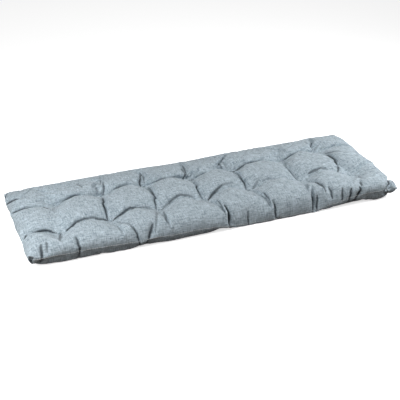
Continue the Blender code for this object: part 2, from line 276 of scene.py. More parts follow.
class CushionCoverSettings(bpy.types.PropertyGroup):
    """Sizes of the cut panels, the sewing and the filling."""

    seam_inset: FloatProperty(
        name="Seam inset", description="How far the side seam stands inside the puffs' outline",
        default=0.002, min=0.0, max=0.03, unit="LENGTH")
    seam_height: FloatProperty(
        name="Seam height", description="Height of the seam at the ends and the back",
        default=0.031, min=0.005, max=0.06, unit="LENGTH")
    tuft_height: FloatProperty(
        name="Tuft height", description="Height at which a tuft holds the upper panel",
        default=0.037, min=0.005, max=0.06, unit="LENGTH")
    under_tuft_height: FloatProperty(
        name="Underside tuft height", description="Height at which it holds the lower panel",
        default=0.022, min=0.0, max=0.05, unit="LENGTH")
    filling_height: FloatProperty(
        name="Filling height", description="Height above which the filling stops pushing",
        default=HEIGHT - 0.001, min=0.02, max=0.2, unit="LENGTH")
    ease_along: FloatProperty(
        name="Ease along", description="Flat spacing of the tufts along, over their real one",
        default=1.08, min=1.0, max=1.3)
    cut_length: FloatProperty(
        name="Cut length", description="Flat length of a panel between its seams",
        default=1.31, min=1.0, max=1.6, unit="LENGTH")
    cut_depth: FloatProperty(
        name="Cut depth", description="Flat depth of a panel between its seams",
        default=0.49, min=0.3, max=0.8, unit="LENGTH")
    tuft_row_gap: FloatProperty(
        name="Tuft row gap", description="Flat distance between the two rows of tufts",
        default=0.172, min=0.1, max=0.3, unit="LENGTH")
    long_gather: FloatProperty(
        name="Long seam gather", description="Sewn length of a long side over its cut length",
        default=0.93, min=0.7, max=1.0, subtype="FACTOR")
    end_gather: FloatProperty(
        name="End seam gather", description="Sewn length of an end over its cut length",
        default=0.86, min=0.7, max=1.0, subtype="FACTOR")
    filling_push: FloatProperty(
        name="Filling push", description="How far a step of settling pushes a 16 mm cell",
        default=0.000060, min=0.0, max=0.0002, unit="LENGTH")
    crease_pull: FloatProperty(
        name="Crease pull", description="Strength of the hand-placed creases",
        default=1.0, min=0.0, max=3.0)
    lump_share: FloatProperty(
        name="Lumps", description="Unevenness of the filling's push",
        default=0.25, min=0.0, max=1.0, subtype="FACTOR")
    seed: IntProperty(
        name="Seed", description="Start of the random lumps of the filling", default=5, min=0)


class CushionClothSettings(bpy.types.PropertyGroup):
    """Colours and scale of the melange cloth and its thread."""

    pale_yarn: FloatVectorProperty(
        name="Pale yarn", description="Colour of the pale yarns", subtype="COLOR", size=4,
        default=(0.56, 0.655, 0.715, 1.0), min=0.0, max=1.0)
    dark_yarn: FloatVectorProperty(
        name="Dark yarn", description="Colour of the blue-grey yarns", subtype="COLOR", size=4,
        default=(0.155, 0.20, 0.235, 1.0), min=0.0, max=1.0)
    yarn_pitch: FloatProperty(
        name="Yarn pitch", description="Distance from yarn to yarn",
        default=0.0011, min=0.0003, max=0.005, unit="LENGTH")
    contrast: FloatProperty(
        name="Melange contrast", description="How far the pale and the dark yarns stand apart",
        default=0.88, min=0.0, max=5.0)
    stitch_colour: FloatVectorProperty(
        name="Topstitch", description="Colour of the topstitch thread", subtype="COLOR", size=4,
        default=(0.66, 0.69, 0.70, 1.0), min=0.0, max=1.0)
    tuft_colour: FloatVectorProperty(
        name="Tufting thread", description="Colour of the tufting thread", subtype="COLOR",
        size=4, default=(0.22, 0.29, 0.33, 1.0), min=0.0, max=1.0)


class CushionStageSettings(bpy.types.PropertyGroup):
    """Floor, light and camera."""

    floor_colour: FloatVectorProperty(
        name="Floor", description="Colour of the floor", subtype="COLOR", size=4,
        default=(0.93, 0.93, 0.93, 1.0), min=0.0, max=1.0)
    sky_strength: FloatProperty(
        name="Sky", description="Strength of the even light from all round",
        default=0.20, min=0.0, max=5.0)
    overhead_power: FloatProperty(
        name="Overhead light", description="Power of the large lamp above the back",
        default=5.3, min=0.0, max=500.0, unit="POWER")
    left_power: FloatProperty(
        name="Left light", description="Power of the lamp above the left end",
        default=12.4, min=0.0, max=500.0, unit="POWER")
    right_power: FloatProperty(
        name="Right light", description="Power of the lamp above the right end",
        default=12.9, min=0.0, max=500.0, unit="POWER")
    camera_azimuth: FloatProperty(
        name="Azimuth", description="Camera's turn round the cushion, 0 looking along +Y",
        default=math.radians(-21.05), subtype="ANGLE")
    camera_elevation: FloatProperty(
        name="Elevation", description="Camera's angle above the horizon",
        default=math.radians(29.12), subtype="ANGLE")
    camera_distance: FloatProperty(
        name="Distance", description="Camera's distance from the point it looks at",
        default=2.797, min=0.5, max=20.0, unit="LENGTH")
    camera_lens: FloatProperty(
        name="Lens", description="Focal length on a 36 mm sensor",
        default=78.0, min=10.0, max=300.0, unit="CAMERA")


CAMERA_TARGET = (-0.0089, -0.0045, 0.0)


# ===== The cut panels

def puff_numbers(along, across):
    """Puff numbers p and q of every point of a panel's grid."""
    return np.meshgrid(np.linspace(0, PUFFS_ALONG, along + 1),
                       np.linspace(0, PUFFS_ACROSS, across + 1))


def grid_place(values, i, j):
    """Read a grid of values at whole or part columns i and rows j, in proportion."""
    rows, columns = values.shape[:2]
    left = np.clip(np.floor(i).astype(int), 0, columns - 2)
    low = np.clip(np.floor(j).astype(int), 0, rows - 2)
    s = (i - left)[..., None]
    t = (j - low)[..., None]
    near = values[low, left] * (1 - s) + values[low, left + 1] * s
    far = values[low + 1, left] * (1 - s) + values[low + 1, left + 1] * s
    return near * (1 - t) + far * t


def net_place(net, p, q):
    """Read a net of 9 by 4 crossings in between them, in proportion along p and q."""
    return grid_place(net.T[..., None], p, q)[..., 0]


def laid_net(cover):
    """Net of the folds on the cushion as it lies, x and y, with the rim on the seam."""
    half_length, half_depth = LENGTH / 2 - cover.seam_inset, DEPTH / 2 - cover.seam_inset
    ends = np.full(PUFFS_ACROSS + 1, half_length)
    inner = np.stack([FOLD[name] for name in
                      ("front_x", "front_tuft_x", "back_tuft_x", "back_x")], axis=1)
    net_x = np.vstack((-ends, inner, ends))
    sides = np.full(PUFFS_ALONG + 1, half_depth)
    front = np.interp(net_x[:, 1], FOLD["front_tuft_x"], FOLD["front_tuft_y"])
    back = np.interp(net_x[:, 2], FOLD["back_tuft_x"], FOLD["back_tuft_y"])
    return net_x, np.stack((-sides, front, back, sides), axis=1)


def cut_net(cover):
    """The same net on the flat-cut panel: wider apart than on the cushion by the ease."""
    net_x, net_y = laid_net(cover)
    column = 0.5 * (net_x[:, 1] + net_x[:, 2]) * cover.ease_along
    cut_x = np.stack((column, net_x[:, 1] * cover.ease_along,
                      net_x[:, 2] * cover.ease_along, column), axis=1)
    cut_x[0], cut_x[-1] = -cover.cut_length / 2, cover.cut_length / 2
    cut_y = net_y - net_y.mean(axis=0)
    cut_y += np.array((-cover.cut_depth, -cover.tuft_row_gap,
                       cover.tuft_row_gap, cover.cut_depth)) / 2
    return cut_x, cut_y


def cut_panel(cover, p, q):
    """Flat place of every point of a panel, which is also its place on the weave."""
    cut_x, cut_y = cut_net(cover)
    return np.stack((net_place(cut_x, p, q), net_place(cut_y, p, q)), axis=-1)


START_SHOULDER = 0.045  # reach of the round shoulders of the rough start
START_RISE = ((0.012, 0.030), (-0.004, -0.020))  # each panel's middle and puffs over the seam


def first_shape(cover, p, q):
    """Rough shape that settling starts from, upper panel first.

    Both panels follow the laid net. Their height rises from the seam in a quarter round, and
    each puff adds the root of a product of two sine waves.
    """
    net_x, net_y = laid_net(cover)
    x, y = net_place(net_x, p, q), net_place(net_y, p, q)
    from_end = np.clip(1 - (net_x[-1, 0] - np.abs(x)) / START_SHOULDER, 0, 1)
    from_side = np.clip(1 - (net_y[0, -1] - np.abs(y)) / START_SHOULDER, 0, 1)
    rise = np.sqrt(1 - from_end ** 2) * np.sqrt(1 - from_side ** 2)
    puff = np.sqrt(np.abs(np.sin(np.pi * p) * np.sin(np.pi * q)))
    shape = np.zeros((2,) + p.shape + (3,), NUMBER)
    shape[..., 0], shape[..., 1] = x, y
    for panel, (middle, bulge) in zip(shape, START_RISE):
        panel[..., 2] = cover.seam_height + rise * (middle + bulge * puff)
    return shape


# ===== The cloth solver

STRETCH = 1.0           # share of a link's excess length taken out in one pass
SQUEEZE = 0.9           # share of its missing length put back
SHEAR = 0.10            # the same for the diagonals, which give as a weave does
FOLDING = 0.08          # the same for links over two cells, which resist folding
GLIDE = 0.97            # share of a point's motion kept from step to step
PASSES = 2              # rounds of link corrections in a step
RIM_HOLD = 0.08         # pull of the rim towards the seam's line
RIM_LEVEL = 0.20        # pull of the rim towards the seam's height
TUFT_TOP = 0.002        # height of the filling's top over a tuft
TUFT_SLOPE = 0.50       # rise of the filling's top with the distance from a tuft
VALLEY_RISE = 0.17      # least rise of a trough's bottom with that distance
TUFT_PATCH = 4          # cells to each side of a tuft that it may hold
TUFT_RADIUS = 0.005     # radius over which its hold eases off, or on a coarse grid
TUFT_CELLS = 0.4        # this many cells
TUFT_FIRM = 1.6         # its hold at the middle, cut off at 1
TUFT_DRAW = 0.55        # how close it draws its patch, as a share of the flat distances
BACK_FALL = 0.025       # how far the filling's top falls from the back puffs to the back edge
BACK_FALL_REACH = 0.7   # distance from the back edge over which it does, in puffs
PRESS_BACK = 0.6        # share by which cloth above the filling's top is brought back to it
FOLD_STOPS = 25         # points along the line of a fold
PULL_WIDTH = 0.0045     # half width of the band in which it pulls the cloth in
FINE_BELL = 0.55        # the least of that half width, in cells
CREASE_REACH = 3.0      # reach of the roll beside a crease, in its half widths
FINE_ROLL = 1.5         # the least of that reach, in cells
CREASE_PULL = 500.0     # pull of a crease for each metre of its depth
CREASE_TAPER = 0.45     # width of a crease at its ends, as a share of that in its middle
CREASE_SWAY = 0.007     # how far a fold sways off its line, in puffs
SWAY_TURN = 9.0         # radians by which the sway turns along the fold
SWAY_SHIFT = 2.4        # radians by which it starts later from fold to fold
GROOVE_SHARE = 0.35     # share of a crease's depth that is pressed in after settling
CLOSED_TOP = 1.6        # height at which the bell of a closed crease's painted shade is cut off at 1
UNDER_RUN = 0.22        # how far a pleat runs on over the lower panel, in puffs
UNDER_FADE = (0.3, 0.4)  # its depth and the darkness of its painted shade where it ends there, over those at the seam
UNDER_TUCK = 0.30       # how far that panel's ends and back lean in, as a share of their drop
CORNER_REACH = 0.070    # distance from a corner over which it has its own gather
CORNER_GATHER = 0.12    # share by which the seam is gathered at the corner itself
CORNER_FULL = 0.18      # share of extra cloth inside the corner, which lets it fill out
CORNER_SEAM = 0.018     # distance from the seam over which one goes over into the other
GATHER_REACH = 0.060    # flat distance from the seam over which its gathers ease off
COARSE_CELL = 0.016     # cell size at which the filling's push is stated
SOFT_TOP = 0.005        # depth below the filling's top at which it pushes at full strength
MOST_PUSH = 2.0         # most push, over that full strength, of filling that is squeezed deeper
LARGEST_STEP = 0.2      # most motion that a point carries into a step, in cells
SAG = 0.000003          # fall in a step under the cloth's own weight, on a grid of that cell size
LUMP_WAVES = 14         # plane waves in the filling's lumps
LUMP_LENGTHS = (0.04, 0.12)  # their shortest and longest
TINY = 1e-12            # keeps a length off zero


def smooth_rise(share):
    """Rise from 0 to 1 without a corner at either end, for a share that may run past them."""
    share = np.clip(share, 0, 1)
    return share * share * (3 - 2 * share)


def from_seams(flat):
    """Flat distance of every point from the nearer end seam and from the nearer long seam."""
    half_length, half_depth = flat[0, -1, 0], flat[-1, 0, 1]
    return half_length - np.abs(flat[..., 0]), half_depth - np.abs(flat[..., 1])


def filling_top(cover, p, q, trough):
    """Height of the filling's top over every point of the laid net.

    It runs in proportion from the middle of one puff to the next, rounds off towards the back
    and is nowhere above a cone that rises from each tuft. Troughs lower it, but not under a
    flatter cone from each tuft.
    """
    puffs = np.array(PUFF_HEIGHTS, dtype=float) / 1000
    puffs *= cover.filling_height / puffs.max()
    i, j = np.clip(p - 0.5, 0, PUFFS_ALONG - 1), np.clip(q - 0.5, 0, PUFFS_ACROSS - 1)
    height = grid_place(puffs[..., None], i, j)[..., 0]
    to_back = np.clip(1 - (PUFFS_ACROSS - q) / BACK_FALL_REACH, 0, 1)
    height -= BACK_FALL * (1 - np.cos(0.5 * np.pi * to_back))
    net_x, net_y = laid_net(cover)
    x, y = net_place(net_x, p, q), net_place(net_y, p, q)
    tufts_x, tufts_y = net_x[1:-1, 1:-1].ravel(), net_y[1:-1, 1:-1].ravel()
    apart = np.hypot(x[..., None] - tufts_x, y[..., None] - tufts_y).min(axis=-1)
    height = np.minimum(height, cover.tuft_height + TUFT_TOP + TUFT_SLOPE * apart)
    valley = np.minimum(height, cover.tuft_height + VALLEY_RISE * apart)
    return np.maximum(height - trough, valley)


# Links between points: how many rows and columns each spans.
LINKS = {"along": (0, 1), "across": (1, 0), "rising": (1, 1), "falling": (1, -1),
         "two_along": (0, 2), "two_across": (2, 0)}

# The order of their corrections: into how many groups they fall whose links share no point, the
# links, the share of excess taken out and the share of missing length put back.
LINK_ROUNDS = (
    (2, ("along", "across"), STRETCH, SQUEEZE),
    (2, ("rising", "falling"), SHEAR, SHEAR),
    (4, ("two_along", "two_across"), 0.0, FOLDING),
)


def link_ends(grid, rows_on, columns_on):
    """Views of a grid at the two ends of all its links of one span."""
    rows, columns = grid.shape[-3:-1]
    near = grid[..., :rows - rows_on, max(0, -columns_on):columns - max(0, columns_on), :]
    far = grid[..., rows_on:, max(0, columns_on):columns + min(0, columns_on), :]
    return near, far


def rest_lengths(flat, long_gather, end_gather):
    """Lengths of all links on the flat panel, shortened along the seams by their gathers.

    A corner has its own gather, and fuller cloth just inside it.
    """
    rest = {}
    for name, span in LINKS.items():
        near, far = link_ends(flat, *span)
        rest[name] = np.sqrt(((far - near) ** 2).sum(-1))[None, :, :, None].astype(NUMBER)
    from_end, from_side = from_seams(flat)
    near_corner = 1 - smooth_rise(np.hypot(from_end, from_side) / CORNER_REACH)
    inside = smooth_rise(np.minimum(from_end, from_side) / CORNER_SEAM)
    corner_share = 1 + near_corner * (CORNER_FULL * inside - CORNER_GATHER * (1 - inside))
    for names, gather, distance in ((("along", "two_along"), long_gather, from_side),
                                    (("across", "two_across"), end_gather, from_end)):
        share = gather + (1 - gather) * smooth_rise(distance / GATHER_REACH)
        share = share + near_corner * (corner_share - share)
        for name in names:
            at_far_end = link_ends(share[..., None], *LINKS[name])[1]
            rest[name] *= at_far_end[None].astype(NUMBER)
    return rest


def correct_links(a, b, rest, stretch, squeeze):
    """Move the two ends of each link towards its rest length, half each."""
    link = b - a
    length = np.sqrt(np.einsum("...i,...i->...", link, link))[..., None] + NUMBER(1e-9)
    excess = length - rest
    share = np.where(excess > 0, NUMBER(stretch / 2), NUMBER(squeeze / 2))
    link *= share * excess / length
    a += link
    b -= link


def relax_cloth(shape, rest):
    """One pass over all links, in groups whose links share no point."""
    for step, names, stretch, squeeze in LINK_ROUNDS:
        for first in range(step):
            for name in names:
                rows_on, columns_on = LINKS[name]
                beyond = (slice(None),) * (2 if rows_on else 1)
                group = (..., slice(first, None, step)) + beyond
                near, far = link_ends(shape, rows_on, columns_on)
                correct_links(near[group], far[group], rest[name][group], stretch, squeeze)


def outward(shape):
    """Normals of both panels, as long as the area round each point, pointing out."""
    along, across = np.gradient(shape, axis=(2, 1))
    normal = np.cross(along, across)
    normal[1] *= -1
    return normal


def unit(vectors):
    """The same vectors, one long."""
    return vectors / (np.linalg.norm(vectors, axis=-1, keepdims=True) + TINY)


RIM = ((0, slice(None)), (-1, slice(None)), (slice(None), 0), (slice(None), -1))

# Each corner, -1 or 1 for left or right and for front or back, and how far the seam of its end
# and of its side stands in there, in metres.
CORNERS = (
    (-1, -1, 0.000, 0.007),
    (1, -1, -0.005, -0.004),
    (-1, 1, 0.000, 0.006),
    (1, 1, -0.002, 0.006),
)
CORNER_ROUND = 0.045    # distance from a corner over which its trim is taken off
LEFT_OUT = 0.003        # how far the left seam stands out from the settings' inset
RIGHT_IN = 0.009        # how far the right seam stands in from it
BACK_IN = 0.003         # how far the back seam stands in from it
SCALLOP = 0.004         # how far the seam of ends and back stands out at a puff's middle
SEAM_WAVE = 0.003       # how far the seam of ends and back rises and falls
SEAM_TURNS = ((4.1, 0.8), (6.6, 0.6))  # its waves along p and q: radians to a puff, and start
PUCKER = 0.0015         # how far the front seam puckers to each side of its line
PUCKER_TURNS = ((55, 1.0), (142, 0.0))  # its waves along x: radians to a metre, and start
FRONT_SHARE = 0.5       # how far the front seam's heights reach round the ends, in puffs


def sew_rim(shape):
    """Bring the rims of the two panels together."""
    for edge in RIM:
        middle = 0.5 * (shape[0][edge] + shape[1][edge])
        shape[0][edge] = middle
        shape[1][edge] = middle


def uneven_wave(most, a, b, turns):
    """A product of two sine waves, one over each of two places, which seems never to repeat."""
    (turn_a, start_a), (turn_b, start_b) = turns
    return most * np.sin(turn_a * a + start_a) * np.sin(turn_b * b + start_b)


def seam_heights(cover, p, q):
    """Height of the seam for every point: the table at the front, a slight wave elsewhere."""
    x = net_place(laid_net(cover)[0], p, q)
    front = np.interp(x, SEAM["x"], SEAM["height"])
    share = np.clip(1 - q / FRONT_SHARE, 0, 1)
    level = cover.seam_height + uneven_wave(SEAM_WAVE, p, q, SEAM_TURNS)
    return (level * (1 - share) + front * share).astype(NUMBER)


def seam_outline(cover, flat, p, q):
    """Where the seam runs: x of the two ends for each row, y of the two sides for each column.

    The ends and the back stand out a little at the middle of each puff, and the front puckers.
    Last comes the front's tuck, for each column.
    """
    x = net_place(laid_net(cover)[0], p, q)[0]
    trims = {}
    for end, side, end_in, side_in in CORNERS:
        near_side = 1 - smooth_rise((flat[-1, 0, 1] - side * flat[:, 0, 1]) / CORNER_ROUND)
        near_end = 1 - smooth_rise((flat[0, -1, 0] - end * flat[0, :, 0]) / CORNER_ROUND)
        trims["end", end] = trims.get(("end", end), 0.0) + end_in * near_side
        trims["side", side] = trims.get(("side", side), 0.0) + side_in * near_end
    half_length, half_depth = LENGTH / 2 - cover.seam_inset, DEPTH / 2 - cover.seam_inset
    left = -half_length - LEFT_OUT + trims["end", -1]
    right = half_length - RIGHT_IN - trims["end", 1]
    front = -half_depth - np.interp(x, SEAM["x"], SEAM["out"]) + trims["side", -1]
    back = half_depth - BACK_IN - trims["side", 1]
    end_wave, side_wave = np.sin(np.pi * q[:, 0]) ** 2, np.sin(np.pi * p[0]) ** 2
    left, right = left - SCALLOP * end_wave, right + SCALLOP * end_wave
    back += SCALLOP * side_wave
    front -= uneven_wave(PUCKER, x, x, PUCKER_TURNS)
    tuck = np.interp(x, SEAM["x"], SEAM["tuck"])
    return tuple(line.astype(NUMBER) for line in (left, right, front, back, tuck))


def hold_seam(shape, outline, heights):
    """Draw the rim towards the seam's outline and height."""
    left, right, front, back, _ = outline
    hold, level = NUMBER(RIM_HOLD), NUMBER(RIM_LEVEL)
    for panel in shape:
        panel[0, :, 1] += hold * (front - panel[0, :, 1])
        panel[-1, :, 1] += hold * (back - panel[-1, :, 1])
        panel[:, 0, 0] += hold * (left - panel[:, 0, 0])
        panel[:, -1, 0] += hold * (right - panel[:, -1, 0])
        for edge in RIM:
            panel[edge][..., 2] += level * (heights[edge] - panel[edge][..., 2])


def tuft_points(along, across):
    """Each tuft's column and row on a grid, and its x and y on the cushion."""
    for number in range(1, PUFFS_ALONG):
        for row, name in ((1, "front"), (2, "back")):
            yield (number * along // PUFFS_ALONG, row * across // PUFFS_ACROSS,
                   FOLD[name + "_tuft_x"][number - 1], FOLD[name + "_tuft_y"][number - 1])


def tuft_holds(flat, along, across, cell):
    """For each tuft: the patch of points it holds, how firmly, and where to."""
    radius = max(TUFT_RADIUS, TUFT_CELLS * cell)
    holds = []
    for i, j, x, y in tuft_points(along, across):
        patch = tuple(slice(k - TUFT_PATCH, k + TUFT_PATCH + 1) for k in (j, i))
        offset = flat[patch] - flat[j, i]
        firm = np.clip(TUFT_FIRM - np.hypot(offset[..., 0], offset[..., 1]) / radius, 0, 1)
        place = np.zeros(offset.shape[:2] + (3,), NUMBER)
        place[..., :2] = np.array((x, y)) + TUFT_DRAW * offset
        holds.append((patch, firm[..., None].astype(NUMBER), place))
    return holds


def tuck_under(panel, outline, heights):
    """Lean the lower panel's side in below the seam."""
    left, right, front, back, tuck = outline
    drop = np.maximum(heights - panel[..., 2], 0)
    lean = NUMBER(UNDER_TUCK) * drop
    x, y = panel[..., 0], panel[..., 1]
    panel[..., 0] = np.clip(x, left[:, None] + lean, right[:, None] - lean)
    panel[..., 1] = np.clip(y, front[None, :] + tuck * drop, back[None, :] - lean)


def hold_tufts(shape, holds, heights):
    """Draw the held patches of both panels to their tufts."""
    for patch, firm, place in holds:
        for panel, height in zip(shape, heights):
            place[..., 2] = height
            held = panel[patch]
            held += firm * (place - held)


def fold_runs(columns, rows, flat):
    """For each row of a table of folds: every point's flat distance from it, and place along."""
    points = flat.reshape(-1, 2)
    grid_rows, grid_columns = flat.shape[:2]
    run = np.linspace(0, 1, FOLD_STOPS)
    for number, row in enumerate(rows):
        fold = dict(zip(columns, row))
        over_p, over_q = fold["p1"] - fold["p0"], fold["q1"] - fold["q0"]
        bow = 4 * run * (1 - run) * fold["bow"] / math.hypot(over_p, over_q)
        sway = uneven_wave(CREASE_SWAY, run, run, ((np.pi, 0), (SWAY_TURN, SWAY_SHIFT * number)))
        line_p = fold["p0"] + over_p * run - bow * over_q + sway
        line_q = fold["q0"] + over_q * run + bow * over_p + sway
        line = grid_place(flat, line_p / PUFFS_ALONG * (grid_columns - 1),
                          line_q / PUFFS_ACROSS * (grid_rows - 1))
        apart = ((points[:, None] - line[None]) ** 2).sum(-1)
        nearest = apart.argmin(axis=1)
        distance = np.sqrt(apart[np.arange(len(points)), nearest])
        yield fold, distance.reshape(flat.shape[:2]), run[nearest].reshape(flat.shape[:2])


def along_fold(fold, name, place):
    """A fold's value at every place along it, from its value at the start to that at the end."""
    return fold[name + "0"] + (fold[name + "1"] - fold[name + "0"]) * place


def crease_width(fold, place):
    """Half width of a crease at every place along it: full in its middle, tapered at its ends."""
    swell = np.sqrt(np.sin(np.pi * np.clip(place, 0, 1)))
    return fold["width"] / 1000 * (CREASE_TAPER + (1 - CREASE_TAPER) * swell)


def roll(distance, reach, depth):
    """How far a fold lowers the cloth: a quarter ellipse to each side, so round sides meet."""
    inward = 1 - np.clip(distance / reach, 0, 1)
    return depth * (1 - np.sqrt(1 - inward ** 2))


def soft_dip(distance, reach, depth):
    """The same without a line where the sides meet."""
    return depth * (1 - smooth_rise(distance / reach))


def under_creases():
    """Rows for the lower panel: each pleat that reaches the front seam runs on below it."""
    rows = []
    for row in CREASES:
        fold = dict(zip(CREASE_COLUMNS, row))
        if fold["q1"] == 0:
            run_on = (fold["p1"] - fold["p0"]) * UNDER_RUN
            fold.update(p0=fold["p1"], q0=0.0, p1=fold["p1"] + run_on, q1=UNDER_RUN, bow=0.0,
                        depth0=fold["depth1"], depth1=UNDER_FADE[0] * fold["depth1"],
                        dark0=fold["dark1"], dark1=UNDER_FADE[1] * fold["dark1"])
            rows.append(tuple(fold[name] for name in CREASE_COLUMNS))
    return rows


def pull_bell(distance, half_width):
    """How the pull of a fold dies away from its line: a bell a few millimetres wide."""
    return PULL_WIDTH / half_width * np.exp(-(distance / half_width) ** 2)


def pull_of_creases(rows, flat, half_width):
    """How hard the creases of a panel pull in."""
    pull = np.zeros(flat.shape[:2])
    for fold, distance, place in fold_runs(CREASE_COLUMNS, rows, flat):
        bell = pull_bell(distance, half_width)
        pull = np.maximum(pull, CREASE_PULL * along_fold(fold, "depth", place) / 1000 * bell)
    return pull


def fold_fields(flat, cell):
    """How far the folds lower the filling's top at every point, and each panel's pull inward.

    Of the troughs, and of the creases, the deepest counts, and a crease is added to the trough
    that it runs in.
    """
    half_width = max(PULL_WIDTH, FINE_BELL * cell)
    trough, crease, pull = (np.zeros(flat.shape[:2]) for _ in range(3))
    for fold, distance, place in fold_runs(TROUGH_COLUMNS, TROUGHS, flat):
        depth = along_fold(fold, "depth", place) / 1000
        profile = roll if fold["pull"] else soft_dip
        trough = np.maximum(trough, profile(distance, fold["reach"] / 1000, depth))
        pull = np.maximum(pull, fold["pull"] * pull_bell(distance, half_width))
    for fold, distance, place in fold_runs(CREASE_COLUMNS, CREASES, flat):
        depth = along_fold(fold, "depth", place) / 1000
        reach = max(CREASE_REACH * fold["width"] / 1000, FINE_ROLL * cell)
        crease = np.maximum(crease, roll(distance, reach, depth))
    upper_pull = np.maximum(pull, pull_of_creases(CREASES, flat, half_width))
    return trough + crease, upper_pull, pull_of_creases(under_creases(), flat, half_width)


def sharpen_creases(shape, flat):
    """Press the line of each crease into the settled panels; gives how closed each is, as painted
    shade.

    The groove is deepest on the line and dies away to each side as an exponential of the
    distance. Painted shade in a closed crease, where the cloth's two walls touch, is a flat-topped
    bell on it.
    """
    groove, closed = np.zeros(shape.shape[:3]), np.zeros(shape.shape[:3])
    for panel, rows in enumerate((CREASES, under_creases())):
        for fold, distance, place in fold_runs(CREASE_COLUMNS, rows, flat):
            width = crease_width(fold, place)
            depth = GROOVE_SHARE * along_fold(fold, "depth", place) / 1000
            groove[panel] = np.maximum(groove[panel], depth * np.exp(-distance / width))
            # Painted shade: how far the cloth's colour is darkened in a closed crease.
            bell = np.minimum(CLOSED_TOP * np.exp(-(distance / width) ** 2), 1)
            closed[panel] = np.maximum(closed[panel], along_fold(fold, "dark", place) * bell)
    shape -= (groove[..., None] * unit(outward(shape))).astype(NUMBER)
    sew_rim(shape)
    shape[..., 2] = np.maximum(shape[..., 2], 0)
    return closed


def lump_field(flat, seed):
    """Unevenness of the filling: a sum of seeded plane waves 4 to 12 cm long, about -1 to 1."""
    random = np.random.default_rng(seed)
    field = np.zeros(flat.shape[:2])
    for _ in range(LUMP_WAVES):
        length = random.uniform(*LUMP_LENGTHS)
        heading = random.uniform(0, 2 * np.pi)
        start = random.uniform(0, 2 * np.pi)
        distance = flat[..., 0] * np.cos(heading) + flat[..., 1] * np.sin(heading)
        field += np.sin(2 * np.pi * distance / length + start)
    return field / math.sqrt(LUMP_WAVES)


def finer(shape):
    """Halve the cells of the grid, with new points half-way between the old."""
    rows, columns = shape.shape[1:3]
    fine = np.zeros((2, 2 * rows - 1, 2 * columns - 1, 3), NUMBER)
    fine[:, ::2, ::2] = shape
    fine[:, 1::2, ::2] = 0.5 * (shape[:, 1:] + shape[:, :-1])
    fine[:, :, 1::2] = 0.5 * (fine[:, :, 2::2] + fine[:, :, :-2:2])
    return fine


def rest_on_surface(shape, before):
    """Stop the cloth at the surface it lies on, where it grips."""
    below = shape[..., 2] < 0
    shape[..., 2][below] = 0
    shape[..., :2][below] = 0.5 * (shape[..., :2][below] + before[..., :2][below])


def settle(cover, shape, along, across, steps):
    """Settle the cover on one grid.

    Each step carries on the last motion, pushes every point along its normal by the filling's
    push, less the pull of the creases and less what rises above the filling, and then corrects
    the links, the sewn rim, the tufts and the contact with the surface.
    """
    p, q = puff_numbers(along, across)
    flat = cut_panel(cover, p, q)
    cell = cover.cut_length / along
    rest = rest_lengths(flat, cover.long_gather, cover.end_gather)
    holds = tuft_holds(flat, along, across, cell)
    heights = seam_heights(cover, p, q)
    trough, pull, under_pull = fold_fields(flat, cell)
    lumps = 1 + cover.lump_share * lump_field(flat, cover.seed)
    area = cell * cover.cut_depth / across
    push = cover.filling_push * (cell / COARSE_CELL) ** 2 / area
    upper_push = (push * (lumps - cover.crease_pull * pull))[..., None].astype(NUMBER)
    lower_push = (push * (1 - cover.crease_pull * under_pull))[..., None].astype(NUMBER)
    top = filling_top(cover, p, q, trough)[..., None].astype(NUMBER)
    largest_step = NUMBER(LARGEST_STEP * cell)
    sag = NUMBER(SAG * (cell / COARSE_CELL) ** 2)
    outline = seam_outline(cover, flat, p, q)
    before = shape
    for _ in range(steps):
        normal = outward(shape)
        filled = np.clip((top - shape[0, ..., 2:3]) / NUMBER(SOFT_TOP), NUMBER(0),
                         NUMBER(MOST_PUSH))
        normal[0] *= upper_push * filled
        normal[1] *= lower_push
        motion = (shape - before) * NUMBER(GLIDE)
        speed = np.sqrt(np.einsum("...i,...i->...", motion, motion))[..., None]
        motion *= np.minimum(NUMBER(1), largest_step / (speed + NUMBER(TINY)))
        before = shape
        shape = shape + motion + normal
        shape[..., 2] -= sag
        for _ in range(PASSES):
            relax_cloth(shape, rest)
            sew_rim(shape)
            hold_tufts(shape, holds, (cover.tuft_height, cover.under_tuft_height))
        hold_seam(shape, outline, heights)
        tuck_under(shape[1], outline, heights)
        shape[0, ..., 2:3] -= NUMBER(PRESS_BACK) * np.maximum(shape[0, ..., 2:3] - top, 0)
        rest_on_surface(shape, before)
    return shape, flat


def filled_cover(cover):
    """Settle the cover from the coarsest grid to the finest and sharpen its creases.

    Gives both panels, the flat panel and how closed a crease is at every point, as painted shade.
    """
    grids = GRIDS
    shape = first_shape(cover, *puff_numbers(*grids[0][:2]))
    for number, (along, across, steps) in enumerate(grids):
        if number:
            shape = finer(shape)
        shape, flat = settle(cover, shape, along, across, steps)
    return shape, flat, sharpen_creases(shape, flat)


# ===== Meshes

